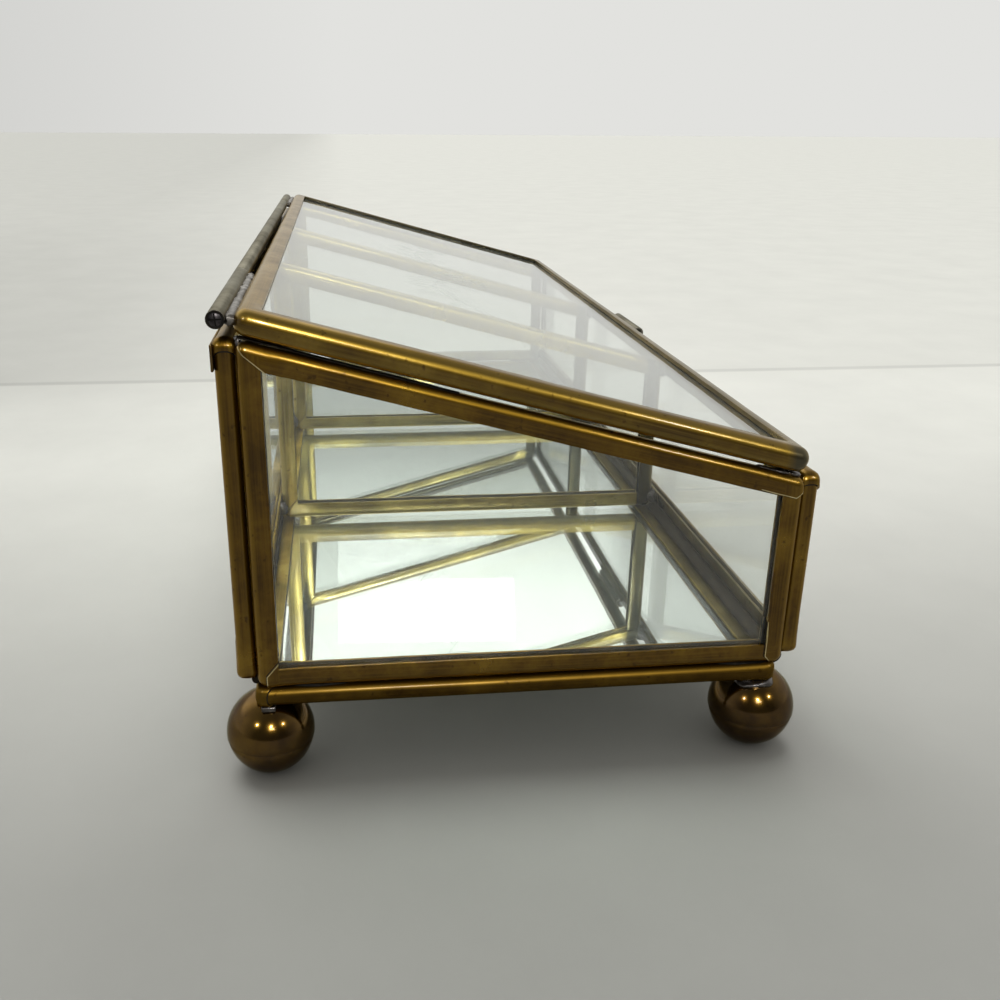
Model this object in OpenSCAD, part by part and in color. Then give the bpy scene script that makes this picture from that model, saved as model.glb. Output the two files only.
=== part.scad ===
/* [Box] */
// Length over the two end frames
box_l = 206; // [150:1:260]
// Width of an end frame, from the front frame to the back frame
box_w = 80; // [60:1:110]
// Height of an end frame at its back edge
back_h = 51.7; // [42:0.1:70]
// Height of an end frame at its front edge
front_h = 30; // [20:0.1:38]
// Clear length of the left compartment
left_compartment_l = 66.2; // [40:0.1:70]
// Clear length of the middle compartment
middle_compartment_l = 62; // [40:0.1:70]

/* [Glass] */
// Thickness of the clear panes and of the floor mirror
glass_t = 2; // [1.6:0.1:3]
// Gap between a pane's face and each lip of its channel
glass_gap = 0.1; // [0.05:0.01:0.2]
// Gap between a pane's edge and the web of its channel
edge_gap = 0.2; // [0.1:0.05:0.6]

/* [Channel] */
// Width of the channel's lips on the box and the dividers
came_face = 3.2; // [2.4:0.1:4.5]
// Thickness of the channel's brass sheet
brass_wall = 0.4; // [0.3:0.05:0.7]
// Radius that rounds the channel's two shoulders
came_round = 1; // [0.3:0.1:1.2]
// Width of the lips on the lid's channel
lid_came_face = 3.2; // [2.4:0.1:4.5]
// Wall of the lid's rounder channel
lid_wall = 0.75; // [0.4:0.05:0.9]
// Radius that rounds the lid channel's shoulders
lid_round = 1.4; // [0.3:0.1:1.5]

/* [Frames] */
// How far the front and back frames stand in from the outer face of the end frames
side_inset = 1.5; // [0:0.1:2]
// Height of the front and back frames' lower edge above the end frames' lower edge
side_lift = 0.5; // [0:0.1:2]
// How far the floor frame sits towards the back
floor_shift = 0.6; // [0:0.1:1.2]
// Solder-filled gap between the floor frame and the walls
floor_gap = 0.3; // [0.1:0.05:0.6]
// Gap between a divider's edge and the front or back frame
divider_gap = 0.4; // [0.1:0.1:1]
// How far a divider's sloping top lies below that of the end frames
divider_drop = 0.4; // [0:0.1:2]

/* [Lid] */
// Height of the lid's underside above the sloping tops of the end frames
lid_gap = 0.6; // [0.5:0.1:3]
// How far the lid overhangs each end frame
lid_over = 0.6; // [0:0.1:3]
// How far the lid's front edge stands out from the front frame's inner face
lid_front_over = 0.7; // [0.5:0.1:6]
// Clearance between the closed lid and what it rests on
lid_rest_gap = 0.1; // [0.05:0.05:0.3]
// Length of the thumb tab on the lid's front edge
tab_l = 18; // [8:1:30]
// Outer diameter of the thumb tab's tube
tab_d = 2.5; // [2:0.1:4]
// Bore of the thumb tab's tube
tab_bore_d = 1.5; // [1:0.1:1.6]
// Height of the thumb tab above the middle of the lid's edge
tab_rise = 0.5; // [0:0.1:0.8]

/* [Hinge] */
// Outer diameter of the rolled hinge tube
hinge_d = 2.5; // [2.2:0.1:4]
// Diameter of the hinge pin
pin_d = 1.4; // [1:0.1:1.6]
// Radial running clearance between the pin and the lid's tubes
pin_clear = 0.06; // [0.03:0.01:0.1]
// Radial squeeze of the crimped middle tube on the pin
pin_crimp = 0.01; // [0.005:0.005:0.02]
// How far the pin stands back inside each end of the tube
pin_recess = 0.2; // [0.1:0.1:1]
// Length of the lid's left hinge tube
left_tube_l = 38.5; // [15:0.5:60]
// Length of the lid's right hinge tube
right_tube_l = 24; // [12:0.5:60]
// Gap between the ends of neighbouring hinge tubes
tube_gap = 0.3; // [0.2:0.1:1]
// How far the hinge axis lies below the lid's middle plane
hinge_drop = 0.4; // [0:0.1:0.9]
// Gap between the lid's back edge and the hinge tube
hinge_gap = 0.9; // [0.8:0.1:2.5]
// Thickness of the hinge leaf
leaf_t = 0.4; // [0.3:0.05:0.8]
// How far the leaf reaches down the back frame
leaf_h = 3.6; // [2:0.1:8]
// How far the leaf's ends stand in from the ends of the back frame
leaf_inset = 0.6; // [0:0.1:4]

/* [Feet] */
// Diameter of a ball foot
foot_d = 13.4; // [9:0.1:18]
// Distance of a foot's centre from the end of the floor frame
foot_inset_x = 4.5; // [2:0.1:10]
// Distance of a foot's centre from the side of the floor frame
foot_inset_y = 1.7; // [1:0.1:8]
// Depth of the flat on a foot's top, where it is soldered on
foot_top_flat = 0.4; // [0.2:0.1:1]
// Depth of the worn flat on a foot's underside
foot_flat = 0.2; // [0.1:0.05:0.5]
// Width and depth of the seam round a foot
foot_seam = 0.24; // [0.1:0.02:0.5]
// Distance of the seam below a foot's centre
foot_seam_drop = 0.6; // [0:0.1:4]
// Radius of the solder collar round a foot's top
foot_solder_r = 3.5; // [3:0.1:4.5]
// Height of the solder collar
foot_solder_h = 0.8; // [0.4:0.1:1.2]

/* [Solder] */
// Radius of a solder blob in an inside corner
blob_r = 1.5; // [0.8:0.1:2]
// Length of a solder pad between the floor frame and an end frame
pad_l = 9; // [4:1:20]
// Width of a solder pad
pad_w = 1.4; // [0.8:0.1:2]
// Length of a solder pad on an end frame's top, which the closed lid rests on
rest_l = 5.5; // [3:0.5:12]
// Distance of a rest pad from the front edge of its end frame
rest_y = 1.6; // [1.5:0.1:6]
// How deep the solder beads under the front and back frames lap over the channels
bead_lap = 0.4; // [0.1:0.05:0.6]
// Height of the solder strip between the lid and its hinge tubes
strip_h = 1.1; // [0.6:0.1:1.4]
// How far the solder strip stops short of each end of its tube
strip_inset = 1; // [0.5:0.1:4]

/* [Hidden] */
$fn = 48;
fine = 96; // facets of a shape that is cut to fit a ball
cut = 1; // how far a cutting shape runs past what it cuts
walls_per_round = 2.6; // largest shoulder radius that a wall can be bent to, in walls
least_web = 0.1; // flat left on a channel's web between its two shoulders

BRASS = "#8c6b2e";
TUBE_BRASS = "#9a8048";
BALL_BRASS = "#6b4f22";
SOLDER = "#8f8f8c";
STEEL = "#4a4038";
CLEAR = [0.8, 0.9, 0.85, 0.35];
SILVERED = [0.75, 0.82, 0.8, 1];

// Edges of a four-sided panel, seen with its first axis to the right and its second up
LOW = 0;
RIGHT = 1;
HIGH = 2;
LEFT = 3;

came_t = glass_t + 2 * (glass_gap + brass_wall);
lid_t = glass_t + 2 * (glass_gap + lid_wall);
slope = atan((back_h - front_h) / box_w);

// Places measured from the left end frame's outer face, the front frame's inner face
// and the end frames' lower edge
left_divider_x = came_t + left_compartment_l;
right_divider_x = left_divider_x + came_t + middle_compartment_l;
floor_z = -floor_gap - came_t;
lid_z = front_h + lid_gap;
lid_reach = max(0, min(came_t, lid_front_over - lid_t * sin(slope)));
front_top = lid_z - lid_reach * tan(slope) - lid_rest_gap;

// The hinge axis: its place on the box, and along and across the lid's own plane
hinge_r = hinge_d / 2;
hinge_y = box_w + came_t + leaf_t - hinge_r;
hinge_across = lid_t / 2 - hinge_drop;
hinge_z = lid_z + hinge_y * tan(slope) + hinge_across / cos(slope);
hinge_along = hinge_y * cos(slope) + (hinge_z - lid_z) * sin(slope);
lid_back = hinge_along - hinge_r - hinge_gap;
lid_front = (lid_t * sin(slope) - lid_front_over) / cos(slope);
tab_along = lid_front - tab_d / 2;
tab_across = lid_t / 2 + tab_rise;

foot_r = foot_d / 2;
foot_z = floor_z + foot_top_flat - foot_r;
foot_xs = [foot_inset_x, box_l - foot_inset_x];
foot_ys = [floor_shift + foot_inset_y, box_w + floor_shift - foot_inset_y];

// The origin lies under the middle of everything, on the surface that the feet stand on
tab_y = tab_along * cos(slope) - tab_across * sin(slope) - tab_d / 2;
y_low = min(foot_ys[0] - foot_r, tab_y, -came_t);
y_high = max(foot_ys[1] + foot_r, box_w + came_t + leaf_t);
shift = [-box_l / 2, -(y_low + y_high) / 2, foot_r - foot_flat - foot_z];

end_outline = [[0, 0], [box_w, 0], [box_w, back_h], [0, front_h]];
front_outline = [[side_inset, side_lift], [box_l - side_inset, side_lift],
    [box_l - side_inset, front_top], [side_inset, front_top]];
back_outline = [[side_inset, side_lift], [box_l - side_inset, side_lift],
    [box_l - side_inset, back_h], [side_inset, back_h]];
floor_outline = [[0, floor_shift], [box_l, floor_shift],
    [box_l, box_w + floor_shift], [0, box_w + floor_shift]];
lid_outline = [[-lid_over, lid_front], [box_l + lid_over, lid_front],
    [box_l + lid_over, lid_back], [-lid_over, lid_back]];
divider_low = -floor_gap;
divider_outline = [[divider_gap, divider_low], [box_w - divider_gap, divider_low],
    [box_w - divider_gap, back_h - divider_drop - divider_gap * tan(slope)],
    [divider_gap, front_h - divider_drop + divider_gap * tan(slope)]];

// Unit vector from a to b, its left-hand normal, and a corner moved inwards by d
function along(a, b) = (b - a) / norm(b - a);
function inward(a, b) = [-along(a, b).y, along(a, b).x];
function inset_corner(o, i, d) =
    let (n = len(o), p = inward(o[(i + n - 1) % n], o[i]), q = inward(o[i], o[(i + 1) % n]))
    o[i] + d * (p + q) / (1 + p * q);
function inset(o, d) = [for (i = [0:len(o) - 1]) inset_corner(o, i, d)];

// Each panel is drawn flat and then stood in its place
module place() { translate(shift) children(); }
module stand_end(x) { place() translate([x, 0, 0]) rotate([90, 0, 90]) children(); }
module stand_side(y) { place() translate([0, y, 0]) rotate([90, 0, 0]) children(); }
module lay_floor() { place() translate([0, 0, floor_z]) children(); }
module lay_lid() { place() translate([0, 0, lid_z]) rotate([slope, 0, 0]) children(); }

function shoulder(thick, wall, round_r) =
    min(round_r, walls_per_round * wall, (thick - least_web) / 2);
box_shoulder = shoulder(came_t, brass_wall, came_round);

// Outline of a channel with its web on the left
module bar_section(face, thick, r) {
    translate([r, 0]) square([face - r, thick]);
    translate([0, r]) square([2 * r, thick - 2 * r]);
    for (w = [r, thick - r]) translate([r, w]) circle(r);
}

// Section of a channel: the web lies on the left, the groove opens to the right
module channel_section(face, thick, wall, round_r) {
    difference() {
        bar_section(face, thick, shoulder(thick, wall, round_r));
        translate([wall, wall]) square([face + cut, thick - 2 * wall]);
    }
}

// One side of a panel's frame: a channel along an edge, mitred at both corners
module channel(outline, edge, face, thick, wall, round_r) {
    n = len(outline);
    a = outline[edge];
    b = outline[(edge + 1) % n];
    a_in = inset_corner(outline, edge, face);
    b_in = inset_corner(outline, (edge + 1) % n, face);
    d = b - a;
    color(BRASS) intersection() {
        translate([a.x, a.y, 0]) rotate([0, 0, atan2(d.y, d.x)]) rotate([90, 0, 90])
            translate([0, 0, -face]) linear_extrude(norm(d) + 2 * face)
                channel_section(face, thick, wall, round_r);
        translate([0, 0, -cut]) linear_extrude(thick + 2 * cut) polygon([
            2 * a - a_in, 2 * b - b_in, 2 * b_in - b, 2 * a_in - a]);
    }
}

module box_channel(outline, edge) {
    channel(outline, edge, came_face, came_t, brass_wall, came_round);
}

// A pane that fills its frame's grooves
module pane(outline, wall, tint) {
    color(tint) translate([0, 0, wall + glass_gap]) linear_extrude(glass_t)
        polygon(inset(outline, wall + edge_gap));
}

module end_channel(x, edge) { stand_end(x) box_channel(end_outline, edge); }
module end_glass(x) { stand_end(x) pane(end_outline, brass_wall, CLEAR); }

module front_channel(edge) { stand_side(0) box_channel(front_outline, edge); }
module front_glass() { stand_side(0) pane(front_outline, brass_wall, CLEAR); }

module back_channel(edge) { stand_side(box_w + came_t) box_channel(back_outline, edge); }
module back_glass() {
    stand_side(box_w + came_t) pane(back_outline, brass_wall, CLEAR);
}

module floor_channel(edge) { lay_floor() box_channel(floor_outline, edge); }
module floor_mirror() { lay_floor() pane(floor_outline, brass_wall, SILVERED); }

module divider_channel(x, edge) { stand_end(x) box_channel(divider_outline, edge); }
module divider_glass(x) {
    stand_end(x) pane(divider_outline, brass_wall, CLEAR);
}

module lid_channel(edge) {
    lay_lid() channel(lid_outline, edge, lid_came_face, lid_t, lid_wall, lid_round);
}
module lid_glass() { lay_lid() pane(lid_outline, lid_wall, CLEAR); }

// A pressed ball with its seam, flat where it is soldered on and where it stands
module foot(x, y) {
    place() translate([x, y, foot_z]) color(BALL_BRASS) difference() {
        sphere(foot_r);
        translate([0, 0, foot_r - foot_top_flat]) cylinder(h = foot_r, r = foot_r);
        translate([0, 0, foot_flat - 2 * foot_r]) cylinder(h = foot_r, r = foot_r);
        rotate_extrude() translate([sqrt(foot_r ^ 2 - foot_seam_drop ^ 2), -foot_seam_drop])
            circle(foot_seam / 2);
    }
}

// The collars of solder between the feet and the floor frame
module foot_solder() {
    collar_z = foot_r - foot_top_flat - foot_solder_h;
    place() for (x = foot_xs, y = foot_ys) translate([x, y, foot_z]) color(SOLDER)
        rotate_extrude($fn = fine) difference() {
            translate([0, collar_z]) square([foot_solder_r, foot_solder_h]);
            circle(foot_r, $fn = fine);
        }
}

// A ball of solder cut to the corner that opens towards to_x and to_y, or with
// to_x = 0 to the side of the wall that opens towards to_y
module blob(r, to_x, to_y) {
    intersection() {
        sphere(r);
        translate([to_x > 0 ? 0 : -2 * r, to_y > 0 ? 0 : -2 * r, -2 * r])
            cube([to_x == 0 ? 4 * r : 2 * r, 2 * r, 4 * r]);
    }
}

// Heights of the blobs, at the middle of the low and high channels of a side frame
function blob_heights(top) = [side_lift + came_face / 2, top - came_face / 2];

// Beads of solder under the front or back frame, one to each compartment, between the
// frame's lower shoulder and the floor frame's upper one
module beads(back) {
    high = [back ? box_w + box_shoulder : -box_shoulder, side_lift + box_shoulder];
    low = [floor_shift + (back ? box_w - box_shoulder : box_shoulder), -floor_gap - box_shoulder];
    r = norm(high - low) / 2 - box_shoulder + bead_lap;
    starts = [came_t, left_divider_x + came_t + blob_r, right_divider_x + came_t + blob_r];
    ends = [left_divider_x - blob_r, right_divider_x - blob_r, box_l - came_t];
    for (i = [0:2]) translate([starts[i], 0, 0]) rotate([90, 0, 90])
        linear_extrude(ends[i] - starts[i]) difference() {
            translate((high + low) / 2) circle(r);
            translate([back ? box_w + came_t : 0, side_lift]) rotate(90)
                bar_section(came_face, came_t, box_shoulder);
            translate([floor_shift + (back ? box_w : 0), floor_z + (back ? came_t : 0)])
                rotate(back ? 180 : 0) bar_section(came_face, came_t, box_shoulder);
        }
}

// The pads on the end frames' sloping tops that the closed lid rests on
module rest_pads() {
    w = came_t - 2 * box_shoulder;
    h = lid_gap * cos(slope) - lid_rest_gap;
    for (x = [box_shoulder, box_l - came_t + box_shoulder]) translate([x, 0, front_h])
        rotate([slope, 0, 0]) translate([0, rest_y, 0]) cube([w, rest_l, h]);
}

// Blobs where the end frames meet the front and back frames, pads over the floor frame,
// beads under the front and back frames and pads under the lid
module corner_solder() {
    place() color(SOLDER) rest_pads();
    place() color(SOLDER) for (back = [0, 1]) beads(back);
    place() color(SOLDER) for (right = [0, 1], back = [0, 1]) {
        x = right ? box_l - came_t : came_t;
        y = back ? box_w : 0;
        for (z = blob_heights(back ? back_h : front_h))
            translate([x, y, z]) blob(blob_r, 1 - 2 * right, 1 - 2 * back);
        translate([right ? box_l - (came_t + pad_w) / 2 : (came_t - pad_w) / 2,
            back ? box_w - came_face - pad_l : came_face, -floor_gap])
            cube([pad_w, pad_l, floor_gap]);
    }
}

// Blobs round the dividers' edges, against the front and back frames
module divider_solder() {
    r = came_t / 2 + blob_r / 2;
    place() color(SOLDER) for (x = [left_divider_x, right_divider_x], back = [0, 1])
        for (z = blob_heights(back ? back_h : front_h)) difference() {
            translate([x + came_t / 2, back ? box_w : 0, z]) blob(r, 0, 1 - 2 * back);
            translate([x, back ? box_w - divider_gap - 2 * r : divider_gap, z - 2 * r])
                cube([came_t, 2 * r, 4 * r]);
        }
}

// A length of the hinge tube, from x to x + length
module hinge_tube(x, length, bore_r) {
    translate([x, hinge_y, hinge_z]) rotate([0, 90, 0]) difference() {
        cylinder(h = length, r = hinge_r);
        translate([0, 0, -cut]) cylinder(h = length + 2 * cut, r = bore_r);
    }
}

module hinge_tube_left() {
    place() color(TUBE_BRASS) hinge_tube(0, left_tube_l, pin_d / 2 + pin_clear);
}
module hinge_tube_right() {
    place() color(TUBE_BRASS)
        hinge_tube(box_l - right_tube_l, right_tube_l, pin_d / 2 + pin_clear);
}

// The leaf on the back frame, rolled into the middle length of the hinge tube
module hinge_leaf() {
    tube_x = left_tube_l + tube_gap;
    tube_l = box_l - right_tube_l - tube_gap - tube_x;
    leaf_x = side_inset + leaf_inset;
    place() color(TUBE_BRASS) difference() {
        union() {
            translate([tube_x, hinge_y, hinge_z]) rotate([0, 90, 0])
                cylinder(h = tube_l, r = hinge_r);
            translate([tube_x, box_w + came_t, back_h - box_shoulder])
                cube([tube_l, leaf_t, hinge_z - back_h + box_shoulder]);
            translate([leaf_x, box_w + came_t, back_h - box_shoulder - leaf_h])
                cube([box_l - 2 * leaf_x, leaf_t, leaf_h]);
        }
        translate([tube_x - cut, hinge_y, hinge_z]) rotate([0, 90, 0])
            cylinder(h = tube_l + 2 * cut, r = pin_d / 2 - pin_crimp);
    }
}

module hinge_pin() {
    place() color(STEEL) translate([pin_recess, hinge_y, hinge_z]) rotate([0, 90, 0])
        cylinder(h = box_l - 2 * pin_recess, r = pin_d / 2);
}

// Solder between the lid's back edge and its two hinge tubes
module hinge_solder() {
    lay_lid() color(SOLDER)
        for (s = [[0, left_tube_l], [box_l - right_tube_l, right_tube_l]])
            translate([s[0] + strip_inset, 0, 0]) rotate([90, 0, 90])
                linear_extrude(s[1] - 2 * strip_inset) difference() {
                    translate([lid_back, hinge_across])
                        square([hinge_gap + hinge_r, strip_h]);
                    translate([hinge_along, hinge_across]) circle(hinge_r);
                }
}

// A short tube soldered along the lid's front edge, to lift it by
module thumb_tab() {
    lay_lid() color(BRASS) translate([(box_l - tab_l) / 2, tab_along, tab_across])
        rotate([90, 0, 90]) linear_extrude(tab_l) difference() {
            union() {
                circle(tab_d / 2);
                translate([0, -tab_d / 4]) square([tab_d / 2, tab_d / 2]);
            }
            circle(tab_bore_d / 2);
        }
}

end_glass(0);  // left_end_glass
end_channel(0, LOW);  // left_end_channel_bottom
end_channel(0, RIGHT);  // left_end_channel_back
end_channel(0, HIGH);  // left_end_channel_top
end_channel(0, LEFT);  // left_end_channel_front
end_glass(box_l - came_t);  // right_end_glass
end_channel(box_l - came_t, LOW);  // right_end_channel_bottom
end_channel(box_l - came_t, RIGHT);  // right_end_channel_back
end_channel(box_l - came_t, HIGH);  // right_end_channel_top
end_channel(box_l - came_t, LEFT);  // right_end_channel_front
front_glass();
front_channel(LOW);  // front_channel_bottom
front_channel(RIGHT);  // front_channel_right
front_channel(HIGH);  // front_channel_top
front_channel(LEFT);  // front_channel_left
back_glass();
back_channel(LOW);  // back_channel_bottom
back_channel(RIGHT);  // back_channel_right
back_channel(HIGH);  // back_channel_top
back_channel(LEFT);  // back_channel_left
floor_mirror();
floor_channel(LOW);  // floor_channel_front
floor_channel(RIGHT);  // floor_channel_right
floor_channel(HIGH);  // floor_channel_back
floor_channel(LEFT);  // floor_channel_left
divider_glass(left_divider_x);  // left_divider_glass
divider_channel(left_divider_x, LOW);  // left_divider_channel_bottom
divider_channel(left_divider_x, RIGHT);  // left_divider_channel_back
divider_channel(left_divider_x, HIGH);  // left_divider_channel_top
divider_channel(left_divider_x, LEFT);  // left_divider_channel_front
divider_glass(right_divider_x);  // right_divider_glass
divider_channel(right_divider_x, LOW);  // right_divider_channel_bottom
divider_channel(right_divider_x, RIGHT);  // right_divider_channel_back
divider_channel(right_divider_x, HIGH);  // right_divider_channel_top
divider_channel(right_divider_x, LEFT);  // right_divider_channel_front
foot(foot_xs[0], foot_ys[0]);  // foot_front_left
foot(foot_xs[1], foot_ys[0]);  // foot_front_right
foot(foot_xs[0], foot_ys[1]);  // foot_back_left
foot(foot_xs[1], foot_ys[1]);  // foot_back_right
foot_solder();
corner_solder();
divider_solder();
hinge_leaf();
hinge_pin();
lid_glass();
lid_channel(LOW);  // lid_channel_front
lid_channel(RIGHT);  // lid_channel_right
lid_channel(HIGH);  // lid_channel_back
lid_channel(LEFT);  // lid_channel_left
hinge_tube_left();
hinge_tube_right();
hinge_solder();
thumb_tab();
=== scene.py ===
# %% [markdown]
# # A slant-topped glass casket
# The real box is made of cut panes, each edged with a folded brass channel. The framed
# panes are soldered into a box, the lid hangs on a rolled tube with a pin, and four
# pressed balls carry it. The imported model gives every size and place. It is loaded as a
# frame that nothing here may move, and each piece below is fitted to it.

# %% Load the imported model
import math
import bmesh
import bpy
from mathutils import Euler, Matrix, Vector, noise


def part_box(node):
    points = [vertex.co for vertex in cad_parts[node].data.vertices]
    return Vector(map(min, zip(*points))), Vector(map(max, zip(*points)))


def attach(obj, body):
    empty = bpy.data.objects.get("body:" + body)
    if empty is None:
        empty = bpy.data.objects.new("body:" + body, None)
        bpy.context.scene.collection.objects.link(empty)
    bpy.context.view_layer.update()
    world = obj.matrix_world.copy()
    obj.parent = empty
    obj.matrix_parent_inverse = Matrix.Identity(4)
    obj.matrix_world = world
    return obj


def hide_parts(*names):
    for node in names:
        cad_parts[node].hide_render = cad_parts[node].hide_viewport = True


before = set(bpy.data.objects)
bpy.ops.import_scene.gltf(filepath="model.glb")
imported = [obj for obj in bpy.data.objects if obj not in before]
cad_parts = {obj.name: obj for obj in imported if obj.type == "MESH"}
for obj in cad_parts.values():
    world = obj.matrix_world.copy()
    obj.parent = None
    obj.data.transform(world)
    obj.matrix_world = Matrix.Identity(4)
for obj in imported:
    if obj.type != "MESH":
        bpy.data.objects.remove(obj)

# Noise vectors start from the clock unless they are seeded, and no two runs would match
noise.seed_set(7)
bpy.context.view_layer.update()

# %% [markdown]
# ## Places
# Each framed pane is drawn flat, with u to its right, v up and w through its thickness,
# and is then stood in its place by one matrix. That is how the box is made too: a pane
# is framed on the bench first and joined to the others afterwards.

# %% Sizes and the four ways that a panel stands
# LIP is the width of a channel's folded edge, THICK its depth across the pane, SHEET the
# brass's own thickness and SHOULDER the round of its long edges. The lid's is rounder.
MM = 0.001
CORNER = Vector(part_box("left_end_channel_bottom")[0])
BOX_L, BOX_W, BACK_H, FRONT_H = 206 * MM, 80 * MM, 51.7 * MM, 30 * MM
LIP, THICK, SHEET, SHOULDER = 3.2 * MM, 3 * MM, 0.4 * MM, 1.3 * MM
LID_LIP, LID_THICK, LID_SHEET, LID_SHOULDER = 3.2 * MM, 3.7 * MM, 0.75 * MM, 1.7 * MM
SLOPE = math.atan2(BACK_H - FRONT_H, BOX_W)
LID_Z = FRONT_H + 0.6 * MM
FLOOR_Z = -3.3 * MM
FRONT_TOP = LID_Z - 0.1 * MM
LEFT_DIVIDER_X, RIGHT_DIVIDER_X = 69.2 * MM, 134.2 * MM


def axes(right, up, out, at):
    """The matrix that takes a flat panel's u, v and w to three directions, from one place."""
    turn = Matrix((right, up, out)).transposed().to_4x4()
    return Matrix.Translation(CORNER + Vector(at)) @ turn


def stand_end(x):
    return axes((0, 1, 0), (0, 0, 1), (1, 0, 0), (x, 0, 0))


def stand_side(y):
    return axes((1, 0, 0), (0, 0, 1), (0, -1, 0), (0, y, 0))


LAY_FLOOR = axes((1, 0, 0), (0, 1, 0), (0, 0, 1), (0, 0, FLOOR_Z))
LAY_LID = axes((1, 0, 0), (0, math.cos(SLOPE), math.sin(SLOPE)),
               (0, -math.sin(SLOPE), math.cos(SLOPE)), (0, 0, LID_Z))
print("lid slope", round(math.degrees(SLOPE), 2), "degrees")

# %% [markdown]
# ## A small kit for materials
# Every finish here is built from nodes, and a few helpers keep that short. One starts a
# material, one adds a node and sets it up, and the rest hand back a new node's output.


# %% Helpers for node materials
def new_finish(name):
    finish = bpy.data.materials.new(name)
    finish.use_nodes = True
    return finish, finish.node_tree, finish.node_tree.nodes["Principled BSDF"]


def add(tree, kind, **values):
    """Adds a node. A value called in_Name goes to the input Name, any other to the node."""
    n = tree.nodes.new(kind)
    for key, value in values.items():
        if key.startswith("in_"):
            n.inputs[key[3:].replace("_", " ")].default_value = value
        else:
            setattr(n, key, value)
    return n


def ramp(tree, source, stops):
    """A colour ramp through the given (place, colour) stops."""
    n = tree.nodes.new("ShaderNodeValToRGB")
    while len(n.color_ramp.elements) < len(stops):
        n.color_ramp.elements.new(0.5)
    for element, (place, colour) in zip(n.color_ramp.elements, stops):
        element.position, element.color = place, colour
    tree.links.new(source, n.inputs[0])
    return n.outputs["Color"]


def spread(tree, source, low, high, to_low, to_high):
    """Maps the range low to high of a value onto another range."""
    n = add(tree, "ShaderNodeMapRange")
    for i, v in enumerate((low, high, to_low, to_high)):
        n.inputs[i + 1].default_value = v
    tree.links.new(source, n.inputs[0])
    return n.outputs[0]


def patterned(tree, space, scale, detail=4, rough=0.55):
    """Noise on the object's own coordinates, or along a strip's own UV map."""
    where = add(tree, "ShaderNodeTexCoord").outputs[space]
    stretch = add(tree, "ShaderNodeMapping")
    stretch.inputs["Scale"].default_value = scale
    n = add(tree, "ShaderNodeTexNoise", in_Scale=1, in_Detail=detail, in_Roughness=rough)
    tree.links.new(where, stretch.inputs["Vector"])
    tree.links.new(stretch.outputs[0], n.inputs["Vector"])
    return n.outputs[0]


def feed(tree, sockets, values):
    """Gives each input its value, which is another node's output or a plain value."""
    for socket, value in zip(sockets, values):
        if isinstance(value, bpy.types.NodeSocket):
            tree.links.new(value, socket)
        else:
            socket.default_value = value


def blend(tree, factor, a, b):
    """Mixes two colours."""
    n = add(tree, "ShaderNodeMix", data_type="RGBA")
    feed(tree, (n.inputs[0], n.inputs[6], n.inputs[7]), (factor, a, b))
    return n.outputs[2]


def sums(tree, operation, a, b):
    """One sum on two values."""
    n = add(tree, "ShaderNodeMath", operation=operation)
    feed(tree, n.inputs, (a, b))
    return n.outputs[0]


def times(tree, a, b):
    return sums(tree, "MULTIPLY", a, b)


def axes_of(tree, space):
    """The x, y and z of a point on the object, or of a direction in the room."""
    split = add(tree, "ShaderNodeSeparateXYZ")
    tree.links.new(add(tree, "ShaderNodeTexCoord").outputs[space], split.inputs[0])
    return split.outputs


# %% [markdown]
# ## Aged brass
# Old lacquered brass is dark brown where hands and air have reached it, finely streaked
# along the strip where it was drawn through the rollers, and rubbed bright on its
# shoulders. The streaks are noise stretched along the strip's UV map, the blotches are
# slow noise on the object, and the rubbed shoulders come from a value that is stored on
# the mesh where it is bent. The clear lacquer is a coat over it all.
#
# The box's brass has three zones. Outside it is brown. Between the walls it is pale and
# golden, partly cleaner brass and partly a painted bright reflection, and just behind the
# front wall it is painted in shade. The object's own coordinates say where a point is.
# The lid's right and front bars are painted a dark grey in the same way, a painted shade.
# Two more finishes serve the corner seams: a dark one of grime and painted shade, which
# also lines the channels' insides, and a painted glint on the cut edge of a lip.


# %% The brass finishes
# Places in the part's own frame. Each pair is the range over which a zone begins or ends.
WALLS_X = (BOX_L / 2 - THICK + 0.1 * MM, BOX_L / 2 - THICK + 0.3 * MM)
WALLS_BACK = (CORNER.y + BOX_W + 0.2 * MM, CORNER.y + BOX_W + 0.8 * MM)
WALLS_LOW = (CORNER.z - 1.5 * MM, CORNER.z - 0.9 * MM)
SHADE_Y, GOLDEN_LIT_Y, ZONE_FADE = CORNER.y - 0.7 * MM, CORNER.y + 3.6 * MM, 0.4 * MM
FAR_END_X = (BOX_L / 2 - 5 * MM, BOX_L / 2 - 3.5 * MM)
FAR_FRONT_Y = (CORNER.y + 2.1 * MM, CORNER.y + 3.6 * MM)
FAR_SHADE_SHARE = 0.85
BLOTCH_PLACES = (0.36, 0.52, 0.74)
# Brown outside; between the walls paler gold, partly a painted bright reflection; just behind the
# front wall a painted shade
OUTER_TONES = [(0.052, 0.024, 0.001, 1), (0.108, 0.055, 0.003, 1), (0.25, 0.145, 0.012, 1)]
GOLDEN_LIT_TONES = [(0.10, 0.072, 0.017, 1), (0.22, 0.165, 0.044, 1), (0.46, 0.365, 0.12, 1)]
SHADE_TONES = [(0.030, 0.024, 0.009, 1), (0.065, 0.054, 0.022, 1), (0.14, 0.115, 0.045, 1)]


def between_walls(tree, front):
    """1 between the walls from a place in y called front to the back, and 0 elsewhere."""
    at = axes_of(tree, "Object")
    length = spread(tree, sums(tree, "ABSOLUTE", at["X"], 0.0), *WALLS_X, 1.0, 0.0)
    width = times(tree, spread(tree, at["Y"], front, front + ZONE_FADE, 0.0, 1.0),
                  spread(tree, at["Y"], *WALLS_BACK, 1.0, 0.0))
    height = spread(tree, at["Z"], *WALLS_LOW, 0.0, 1.0)
    return times(tree, times(tree, length, width), height)


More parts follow.
